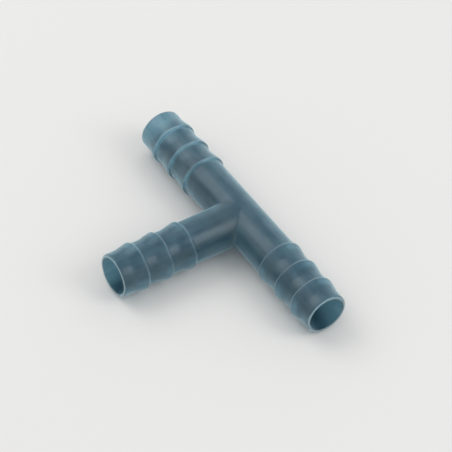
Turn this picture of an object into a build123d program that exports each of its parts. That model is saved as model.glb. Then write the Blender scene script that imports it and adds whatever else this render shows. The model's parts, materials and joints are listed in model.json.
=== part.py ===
from build123d import *
import os

# Barbed tee for soft hose, moulded in one shot of natural polypropylene.
# Millimetres, +Z up. The origin is where the run's axis crosses the branch's axis.
# The run lies along X and the branch points along -Y. The tee rests on its barb crests.

# Tube
tube_diameter = 10.0            # plain outside of all three arms, the bore of the hose it is made for
wall_thickness = 0.75           # plain tube wall, so the water way is 8.5 across
run_arm_reach = 33.3            # centre of the tee to either mouth of the run
branch_arm_reach = 33.3         # centre of the tee to the mouth of the branch

# Barbs, the same on every arm
barb_count = 3
barb_pitch = 6.0                # crest to crest, and mouth to the first crest
barb_height = 0.5               # how far a crest stands out of the tube
crest_land = 0.4                # short cylinder that tops each barb
barb_ramp_length = 2.7          # slope that faces the mouth
barb_back_length = 0.5          # steep shoulder that faces the centre and grips the hose

# Mouth lip
lip_inner_radius = 0.15
lip_flat = 0.1                  # flat ring between the two rounded edges of the mouth

# Junction
junction_margin = 4.0           # plain tube past the saddle on each arm of the junction

tube_radius = tube_diameter / 2
bore_radius = tube_radius - wall_thickness
crest_radius = tube_radius + barb_height
lip_outer_radius = wall_thickness - lip_inner_radius - lip_flat
junction_reach = tube_radius + junction_margin
quarter_turn = 90


def barb_corners(arm_reach):
    """Outline points of the barbs on one arm, from the centre towards the mouth."""
    corners = []
    for barb in reversed(range(barb_count)):
        crest_start = arm_reach - (barb + 1) * barb_pitch
        crest_end = crest_start + crest_land
        corners += [
            (tube_radius, crest_start - barb_back_length),
            (crest_radius, crest_start),
            (crest_radius, crest_end),
            (tube_radius, crest_end + barb_ramp_length),
        ]
    return corners


def spigot(arm_reach):
    """One hose end, standing along +Z from the junction's face to its mouth."""
    lip_start = arm_reach - lip_outer_radius
    bore_end = arm_reach - lip_inner_radius
    inner_corner = (bore_radius, junction_reach)
    outer_corner = (tube_radius, junction_reach)
    outer_centre = (tube_radius - lip_outer_radius, lip_start)
    inner_centre = (bore_radius + lip_inner_radius, bore_end)

    with BuildPart() as tube:
        with BuildSketch(Plane.XZ):
            with BuildLine():
                Polyline(inner_corner, outer_corner, *barb_corners(arm_reach), (tube_radius, lip_start))
                outer_lip = CenterArc(outer_centre, lip_outer_radius, 0, quarter_turn)
                inner_lip = CenterArc(inner_centre, lip_inner_radius, quarter_turn, quarter_turn)
                Line(outer_lip @ 1, inner_lip @ 0)
                Line(inner_lip @ 1, inner_corner)
            make_face()
        revolve(axis=Axis.Z)
    return tube.part


def short_tube(start, end):
    """Plain tube along +Z."""
    with BuildPart() as tube:
        with BuildSketch(Plane.XY.offset(start)):
            Circle(tube_radius)
            Circle(bore_radius, mode=Mode.SUBTRACT)
        extrude(amount=end - start)
    return tube.part


def branch_share():
    """Wedge between the two mitre planes that belongs to the branch, with its point at the centre."""
    right_corner = (junction_reach, -junction_reach)
    left_corner = (-junction_reach, -junction_reach)
    with BuildPart() as wedge:
        with BuildSketch(Plane.XY):
            Polygon((0, 0), right_corner, left_corner, align=None)
        extrude(amount=junction_reach, both=True)
    return wedge.part


def junction():
    """The plain crossing of the two tubes, hollow along both and mitred where they meet."""
    share = branch_share()
    run = along_run * short_tube(-junction_reach, junction_reach)
    branch = along_branch * short_tube(0, junction_reach)
    return (run - share) + (branch & share)


along_run = Rotation(0, quarter_turn, 0)
against_run = Rotation(0, -quarter_turn, 0)
along_branch = Rotation(quarter_turn, 0, 0)

parts = {
    "junction_body": junction(),
    "run_spigot_right": along_run * spigot(run_arm_reach),
    "run_spigot_left": against_run * spigot(run_arm_reach),
    "branch_spigot": along_branch * spigot(branch_arm_reach),
}

os.makedirs("parts", exist_ok=True)
for name, shape in parts.items():
    shape.label = name
    export_step(shape, f"parts/{name}.step")
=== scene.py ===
# Barbed tee for soft hose, moulded in natural polypropylene.
import bmesh
import bpy
import json
import math
from mathutils import Matrix, Vector


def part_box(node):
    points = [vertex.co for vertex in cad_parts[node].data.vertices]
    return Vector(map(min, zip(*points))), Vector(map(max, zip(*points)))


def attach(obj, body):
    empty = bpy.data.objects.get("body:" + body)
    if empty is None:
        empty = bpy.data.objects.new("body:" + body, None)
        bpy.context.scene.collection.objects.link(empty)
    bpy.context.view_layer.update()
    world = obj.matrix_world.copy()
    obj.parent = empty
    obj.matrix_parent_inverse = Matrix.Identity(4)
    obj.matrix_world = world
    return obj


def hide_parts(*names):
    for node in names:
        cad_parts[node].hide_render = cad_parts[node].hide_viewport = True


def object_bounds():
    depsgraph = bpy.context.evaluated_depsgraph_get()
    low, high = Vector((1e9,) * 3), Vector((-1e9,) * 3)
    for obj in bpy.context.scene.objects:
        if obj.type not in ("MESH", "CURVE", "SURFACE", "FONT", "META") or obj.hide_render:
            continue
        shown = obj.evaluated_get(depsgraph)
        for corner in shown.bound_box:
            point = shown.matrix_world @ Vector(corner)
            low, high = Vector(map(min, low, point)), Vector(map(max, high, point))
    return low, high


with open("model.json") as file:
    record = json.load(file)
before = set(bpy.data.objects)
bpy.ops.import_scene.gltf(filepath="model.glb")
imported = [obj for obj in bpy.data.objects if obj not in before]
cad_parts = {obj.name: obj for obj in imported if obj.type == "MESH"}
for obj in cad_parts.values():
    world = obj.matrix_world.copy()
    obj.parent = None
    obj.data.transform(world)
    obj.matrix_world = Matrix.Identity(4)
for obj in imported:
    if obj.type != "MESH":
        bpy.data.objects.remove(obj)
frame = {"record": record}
cadLow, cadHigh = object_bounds()
mm = 0.001


def hexToLinear(hexColor):
    # sRGB hex to the linear RGBA that shader sockets take
    channels = [int(hexColor[place:place + 2], 16) / 255 for place in (0, 2, 4)]
    linear = [c / 12.92 if c <= 0.04045 else ((c + 0.055) / 1.055) ** 2.4 for c in channels]
    return (*linear, 1.0)


def addNode(tree, kind, place, inputs, **settings):
    # one node with its settings, plain values and links; a node given as an input lends its result
    node = tree.nodes.new("ShaderNode" + kind)
    node.location = place
    for name, value in settings.items():
        setattr(node, name, value)
    for name, value in inputs.items():
        if isinstance(value, bpy.types.Node):
            value = next(socket for socket in value.outputs if socket.enabled)
        if isinstance(value, bpy.types.NodeSocket):
            tree.links.new(value, node.inputs[name])
        else:
            node.inputs[name].default_value = value
    return node


# the tubes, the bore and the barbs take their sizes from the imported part
mounts = {mount["name"]: mount for mount in frame["record"]["mounts"]}
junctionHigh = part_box("junction_body")[1]
hoseEnd = mounts["run_hose_end_right"]

tee = {
    "runReach": cadHigh.x,
    "branchReach": -cadLow.y,
    "tubeRadius": junctionHigh.z,
    "boreRadius": mounts["run_bore"]["dims"]["r_mm"] * mm,
    "crestRadius": hoseEnd["dims"]["r_mm"] * mm,
    "crestLand": hoseEnd["dims"]["length_mm"] * mm,
    "barbCount": 3,
    "barbPitch": 6.0 * mm,
    "barbRamp": 2.7 * mm,
    "barbBack": 0.5 * mm,
    "rounding": {               # radius and faces of each rounded corner
        "valley": (0.25 * mm, 3),
        "crest": (0.15 * mm, 3),
        "lip": (0.42 * mm, 6),
        "bore": (0.2 * mm, 3),
    },
    "saddleFillet": 0.7 * mm,
    "filletFaces": 5,
    "clearOfSaddle": 1.2 * mm,
    "longestFace": 0.6 * mm,
    "stepsRound": 96,
    "cutTolerance": 0.0001 * mm,
    "weldTolerance": 0.001 * mm,
    "seamTolerance": 0.002 * mm,
    "radiusTolerance": 0.01 * mm,
}


def armOutline(bm, reach):
    # half section of one arm along +X: out over the barbs, round the lip and back down the bore
    outer, crest = tee["tubeRadius"], tee["crestRadius"]
    crossing = outer + tee["clearOfSaddle"]
    points = [(0.0, outer, None), (crossing, outer, None)]
    for barb in reversed(range(tee["barbCount"])):
        start = reach - (barb + 1) * tee["barbPitch"]
        end = start + tee["crestLand"]
        points.append((start - tee["barbBack"], outer, "valley"))
        points.append((start, crest, "crest"))
        points.append((end, crest, "crest"))
        points.append((end + tee["barbRamp"], outer, "valley"))
    points.append((reach, outer, "lip"))
    points.append((reach, tee["boreRadius"], "bore"))
    points.append((crossing, tee["boreRadius"], None))
    points.append((0.0, tee["boreRadius"], None))

    corners = {corner: [] for corner in tee["rounding"]}
    verts = []
    for along, radius, corner in points:
        vert = bm.verts.new((along, 0.0, radius))
        verts.append(vert)
        if corner:
            corners[corner].append(vert)
    for first, second in zip(verts, verts[1:]):
        bm.edges.new((first, second))
    for corner, (radius, segments) in tee["rounding"].items():
        bmesh.ops.bevel(
            bm, geom=corners[corner], offset=radius, offset_type="OFFSET", segments=segments,
            profile=0.5, affect="VERTICES", material=-1,
        )
    # outside the crossing every long face is halved until it is short, so that light runs evenly along it
    nearest = crossing - tee["radiusTolerance"]
    longEdges = True
    while longEdges:
        longEdges = [
            edge for edge in bm.edges
            if edge.calc_length() > tee["longestFace"] and min(v.co.x for v in edge.verts) > nearest
        ]
        bmesh.ops.subdivide_edges(bm, edges=longEdges, cuts=1)


def arm(reach):
    # the outline turned once round the arm's axis
    bm = bmesh.new()
    armOutline(bm, reach)
    bmesh.ops.spin(
        bm, geom=bm.verts[:] + bm.edges[:], cent=(0, 0, 0), axis=(1, 0, 0),
        angle=2 * math.pi, steps=tee["stepsRound"], use_merge=True,
    )
    bmesh.ops.remove_doubles(bm, verts=bm.verts[:], dist=tee["weldTolerance"])
    return bm


def cutAlong(bm, normal):
    # keeps the side of a mitre plane through the centre that the normal points to
    bmesh.ops.bisect_plane(
        bm, geom=bm.verts[:] + bm.edges[:] + bm.faces[:], dist=tee["cutTolerance"],
        plane_co=(0, 0, 0), plane_no=normal, clear_inner=True,
    )


def joinInto(target, source):
    mesh = bpy.data.meshes.new("arm")
    source.to_mesh(mesh)
    source.free()
    target.from_mesh(mesh)
    bpy.data.meshes.remove(mesh)


def onSaddle(edge):
    # true for an edge on the outside of the line where two arms meet
    skin = tee["tubeRadius"] - tee["radiusTolerance"]
    places = [vert.co for vert in edge.verts]
    onMitre = all(abs(abs(place.x) + place.y) < tee["weldTolerance"] for place in places)
    return onMitre and all(math.hypot(place.y, place.z) > skin for place in places)


def roundSaddle(piece, bm):
    # a fillet of one radius: its width follows the angle between the two tubes, which fades out at the top
    weight = bm.edges.layers.float.new("bevel_weight_edge")
    for edge in filter(onSaddle, bm.edges):
        edge[weight] = math.tan(edge.calc_face_angle() / 2)
    bevel = piece.modifiers.new("saddle_fillet", "BEVEL")
    bevel.limit_method = "WEIGHT"
    bevel.offset_type = "OFFSET"
    bevel.width = tee["saddleFillet"]
    bevel.segments = tee["filletFaces"]
    bevel.profile = 0.5
    bevel.use_clamp_overlap = True


def makeTee():
    rightArm = arm(tee["runReach"])
    cutAlong(rightArm, (1, 1, 0))
    leftArm = rightArm.copy()
    bmesh.ops.scale(leftArm, vec=(-1, 1, 1), verts=leftArm.verts[:])
    branch = arm(tee["branchReach"])
    quarterTurn = Matrix.Rotation(-math.pi / 2, 3, "Z")
    bmesh.ops.rotate(branch, cent=(0, 0, 0), matrix=quarterTurn, verts=branch.verts[:])
    cutAlong(branch, (1, -1, 0))
    cutAlong(branch, (-1, -1, 0))

    bm = bmesh.new()
    for piece in (rightArm, leftArm, branch):
        joinInto(bm, piece)
    bmesh.ops.remove_doubles(bm, verts=bm.verts[:], dist=tee["seamTolerance"])
    bmesh.ops.recalc_face_normals(bm, faces=bm.faces[:])

    mesh = bpy.data.meshes.new("tee_moulding")
    moulding = bpy.data.objects.new("tee_moulding", mesh)
    bpy.context.collection.objects.link(moulding)
    roundSaddle(moulding, bm)
    openEdges = [edge for edge in bm.edges if not edge.is_manifold]
    print("tee moulding:", len(bm.faces), "faces,", len(openEdges), "open edges")
    bm.to_mesh(mesh)
    bm.free()
    mesh.shade_smooth()
    return moulding


polypropylene = {
    "deepColor": "619DB7",
    "milkyColor": "8DC4D8",
    # the pale colour of the painted highlight on the lips and barb shoulders
    "edgeHighlightColor": "D3E8EE",
    # painted shade: the bore is coloured darker than the wall
    "boreShadeColor": "587A88",
    "ior": 1.49,
    "roughness": (0.29, 0.36),
    "wallTransmission": 0.88,
    "edgeHighlightTransmission": 0.5,
    "boreTransmission": 1.0,
    "sheen": 1.0,                      # pale outlines, where the wall is seen edge on
    "sheenColor": "BFE0EA",
    "sheenRoughness": 0.35,
    "cloudSize": 4.0 * mm,
    "cloudDetail": 3.0,
    "streakSize": 1.6 * mm,
    "streakStretch": 0.12,             # a streak is this much finer across than along
    "milkyFrom": (0.72, 1.28),         # clouds and streaks added up, from deep to milky
    "roughFrom": (0.3, 0.7),           # streaks alone, from smoother to rougher
    "skinSize": 0.45 * mm,             # the real grain is finer, and wouldn't show
    "skinDepth": 0.012 * mm,
    "lipHighlightDepth": 0.2 * mm,
    "lipHighlightInside": 0.2,                  # how much of the lip's painted highlight reaches the bore
    "shoulderHighlightBlur": 0.13 * mm,
    "shoulderHighlightAmount": 0.7,             # how strong a barb's painted shoulder highlight is, where the lip's is 1
}


def makePolypropylene():
    # injection moulded: frosted and see-through, with soft flow streaks; a painted highlight lies on the
    # lips and barb shoulders, and painted shade darkens the bore
    look = polypropylene
    material = bpy.data.materials.new("natural_polypropylene_injection_moulded")
    material.use_nodes = True
    tree = material.node_tree
    tree.nodes.clear()

    # which arm a point is on, and how far it is from that arm's mouth
    coords = addNode(tree, "TexCoord", (-2200, 0), {}).outputs["Object"]
    axes = addNode(tree, "SeparateXYZ", (-2000, 200), {"Vector": coords})
    alongRun = addNode(tree, "Math", (-1800, 300), {0: axes.outputs["X"]}, operation="ABSOLUTE")
    alongBranch = addNode(tree, "Math", (-1800, 150), {0: axes.outputs["Y"], 1: -1.0}, operation="MULTIPLY")
    onRun = addNode(tree, "Math", (-1600, 300), {0: alongRun, 1: alongBranch}, operation="GREATER_THAN")
    along = addNode(tree, "Math", (-1600, 150), {0: alongRun, 1: alongBranch}, operation="MAXIMUM")
    toMouth = addNode(tree, "Math", (-1400, 150), {0: tee["runReach"], 1: along}, operation="SUBTRACT")

    # the bore is everything nearer to an arm's axis than the middle of its wall
    midWall = (tee["boreRadius"] + tee["tubeRadius"]) / 2
    across = addNode(tree, "Mix", (-1400, 500), {0: onRun, 2: axes.outputs["X"], 3: axes.outputs["Y"]})
    spoke = addNode(tree, "CombineXYZ", (-1200, 500), {"X": across, "Y": axes.outputs["Z"]})
    fromAxis = addNode(tree, "VectorMath", (-1000, 500), {0: spoke}, operation="LENGTH")
    inBore = addNode(tree, "Math", (-800, 500), {0: fromAxis, 1: midWall}, operation="LESS_THAN")

    # a painted highlight on the lip, standing in for light gathered in the wall's end
    nearMouth = addNode(tree, "MapRange", (-1000, 300), {
        "Value": toMouth, "From Min": 0.0, "From Max": look["lipHighlightDepth"], "To Min": 1.0, "To Max": 0.0,
    }, interpolation_type="SMOOTHSTEP")
    rimHighlight = addNode(tree, "MapRange", (-800, 400), {
        "Value": fromAxis, "From Min": tee["boreRadius"], "From Max": tee["tubeRadius"],
        "To Min": look["lipHighlightInside"], "To Max": 1.0,
    }, interpolation_type="SMOOTHSTEP")
    lip = addNode(tree, "Math", (-600, 350), {0: nearMouth, 1: rimHighlight}, operation="MULTIPLY")

    # and a painted highlight along the shoulder of each barb, which comes once in every pitch from the
    # mouth
    pitch = tee["barbPitch"]
    lastBarb = pitch * (tee["barbCount"] + 0.5)
    shifted = addNode(tree, "Math", (-1200, 100), {0: toMouth, 1: pitch / 2}, operation="ADD")
    wrapped = addNode(tree, "Math", (-1050, 100), {0: shifted, 1: pitch}, operation="MODULO")
    centred = addNode(tree, "Math", (-900, 100), {0: wrapped, 1: pitch / 2}, operation="SUBTRACT")
    offShoulder = addNode(tree, "Math", (-750, 100), {0: centred}, operation="ABSOLUTE")
    ring = addNode(tree, "MapRange", (-600, 100), {
        "Value": offShoulder, "From Min": 0.0, "From Max": look["shoulderHighlightBlur"],
        "To Min": look["shoulderHighlightAmount"], "To Max": 0.0,
    }, interpolation_type="SMOOTHSTEP")
    onBarbs = addNode(tree, "Math", (-750, -50), {0: toMouth, 1: lastBarb}, operation="LESS_THAN")
    shoulderHighlight = addNode(tree, "Math", (-450, 50), {0: ring, 1: onBarbs}, operation="MULTIPLY")
    # edges: where the painted highlight lies, on the lips and barb shoulders
    edges = addNode(tree, "Math", (-400, 200), {0: lip, 1: shoulderHighlight}, operation="MAXIMUM")

    # soft clouds, and streaks that the flow drew out along each arm
    stretch = look["streakStretch"]
    clouds = addNode(tree, "TexNoise", (-1000, -100), {
        "Vector": coords, "Scale": 1 / look["cloudSize"], "Detail": look["cloudDetail"],
    })
    runFlow = addNode(tree, "Mapping", (-1600, -200), {"Vector": coords, "Scale": (stretch, 1, 1)})
    branchFlow = addNode(tree, "Mapping", (-1600, -450), {"Vector": coords, "Scale": (1, stretch, 1)})
    flow = addNode(tree, "Mix", (-1300, -300), {0: onRun, 4: branchFlow, 5: runFlow}, data_type="VECTOR")
    streaks = addNode(tree, "TexNoise", (-1000, -350), {"Vector": flow, "Scale": 1 / look["streakSize"]})
    both = addNode(tree, "Math", (-800, -200), {0: clouds, 1: streaks}, operation="ADD")
    cloudy = addNode(tree, "MapRange", (-600, -200), {
        "Value": both, "From Min": look["milkyFrom"][0], "From Max": look["milkyFrom"][1],
    }, interpolation_type="SMOOTHSTEP")

    body = addNode(tree, "Mix", (-300, 0), {
        0: cloudy, 6: hexToLinear(look["deepColor"]), 7: hexToLinear(look["milkyColor"]),
    }, data_type="RGBA")
    # painted shade laid over the bore
    boreShaded = addNode(tree, "Mix", (-200, 200), {
        0: inBore, 6: body, 7: hexToLinear(look["boreShadeColor"]),
    }, data_type="RGBA")
    # the painted highlight colour laid over the lips and barb shoulders
    color = addNode(tree, "Mix", (-100, 100), {
        0: edges, 6: boreShaded, 7: hexToLinear(look["edgeHighlightColor"]),
    }, data_type="RGBA")
    rough = addNode(tree, "MapRange", (-300, -350), {
        "Value": streaks, "From Min": look["roughFrom"][0], "From Max": look["roughFrom"][1],
        "To Min": look["roughness"][0], "To Max": look["roughness"][1],
    }, interpolation_type="SMOOTHSTEP")
    inside = addNode(tree, "MapRange", (-300, -100), {
        "Value": inBore, "To Min": look["wallTransmission"], "To Max": look["boreTransmission"],
    }, interpolation_type="SMOOTHSTEP")
    # less light goes through where the highlight is painted
    through = addNode(tree, "Mix", (-100, -150), {0: edges, 2: inside, 3: look["edgeHighlightTransmission"]})
    skin = addNode(tree, "TexNoise", (-1000, -650), {"Vector": coords, "Scale": 1 / look["skinSize"]})
    bump = addNode(tree, "Bump", (-300, -650), {"Height": skin, "Distance": look["skinDepth"]})

    shader = addNode(tree, "BsdfPrincipled", (200, 0), {
        "Base Color": color, "Roughness": rough, "Normal": bump, "Transmission Weight": through,
        "IOR": look["ior"], "Sheen Weight": look["sheen"], "Sheen Roughness": look["sheenRoughness"],
        "Sheen Tint": hexToLinear(look["sheenColor"]),
    })
    addNode(tree, "OutputMaterial", (500, 0), {"Surface": shader})
    print("natural polypropylene made")
    return material


studio = {
    "floorColor": "EDEDEB",
    "floorRoughness": 0.9,
    "floorSize": 1.6,
    "worldStrength": 0.68,
}

softboxes = {                   # azimuth, elevation, distance, width and height, power
    "softbox_left": (298, 48, 0.7, (0.6, 0.4), 1.3),
    "softbox_low_back": (218, 20, 0.8, (0.5, 0.25), 0.1),
    "softbox_right": (128, 40, 0.7, (0.3, 0.45), 1.0),
}

cameraSetup = {
    "aim": (-0.84 * mm, -3.35 * mm, -1.23 * mm),
    "azimuth": 54.01,
    "elevation": 46.29,
    "distance": 653.4 * mm,
    "roll": 3.54,
    "lens": 235.3,
    "sensorWidth": 36.0,
    "clipStart": 10.0 * mm,
}


def turnTo(azimuth, elevation):
    # the direction to a place seen from the centre: 0 is in front, along -Y, and the angle grows towards +X
    a, e = math.radians(azimuth), math.radians(elevation)
    return Vector((math.sin(a) * math.cos(e), -math.cos(a) * math.cos(e), math.sin(e)))


def makeCamera():
    data = bpy.data.cameras.new("camera")
    data.lens = cameraSetup["lens"]
    data.sensor_width = cameraSetup["sensorWidth"]
    data.clip_start = cameraSetup["clipStart"]
    camera = bpy.data.objects.new("camera", data)
    bpy.context.collection.objects.link(camera)
    back = turnTo(cameraSetup["azimuth"], cameraSetup["elevation"])
    camera.location = Vector(cameraSetup["aim"]) + back * cameraSetup["distance"]
    facing = (-back).to_track_quat("-Z", "Y").to_matrix()
    roll = Matrix.Rotation(math.radians(cameraSetup["roll"]), 3, "Z")
    camera.rotation_euler = (facing @ roll).to_euler()
    bpy.context.scene.camera = camera


def makeLight(name, azimuth, elevation, distance, size, power):
    data = bpy.data.lights.new(name, "AREA")
    data.shape = "RECTANGLE"
    data.size, data.size_y = size
    data.energy = power
    light = bpy.data.objects.new(name, data)
    bpy.context.collection.objects.link(light)
    back = turnTo(azimuth, elevation)
    light.location = back * distance
    light.rotation_euler = (-back).to_track_quat("-Z", "Y").to_euler()


def makeStudio():
    bm = bmesh.new()
    bmesh.ops.create_grid(bm, x_segments=1, y_segments=1, size=studio["floorSize"] / 2)
    bmesh.ops.translate(bm, vec=(0, 0, cadLow.z), verts=bm.verts[:])
    mesh = bpy.data.meshes.new("floor")
    bm.to_mesh(mesh)
    bm.free()
    floor = bpy.data.objects.new("floor", mesh)
    bpy.context.collection.objects.link(floor)
    material = bpy.data.materials.new("plain_pale_floor")
    material.use_nodes = True
    shader = material.node_tree.nodes["Principled BSDF"]
    shader.inputs["Base Color"].default_value = hexToLinear(studio["floorColor"])
    shader.inputs["Roughness"].default_value = studio["floorRoughness"]
    mesh.materials.append(material)

    world = bpy.data.worlds.new("studio")
    world.use_nodes = True
    background = world.node_tree.nodes["Background"]
    background.inputs["Color"].default_value = (1, 1, 1, 1)
    background.inputs["Strength"].default_value = studio["worldStrength"]
    bpy.context.scene.world = world
    bpy.context.scene.view_settings.view_transform = "Standard"

    for name, light in softboxes.items():
        makeLight(name, *light)


moulding = makeTee()
moulding.data.materials.append(makePolypropylene())
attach(moulding, "root")
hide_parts("junction_body", "run_spigot_right", "run_spigot_left", "branch_spigot")

makeStudio()
makeCamera()
print("studio and camera made")
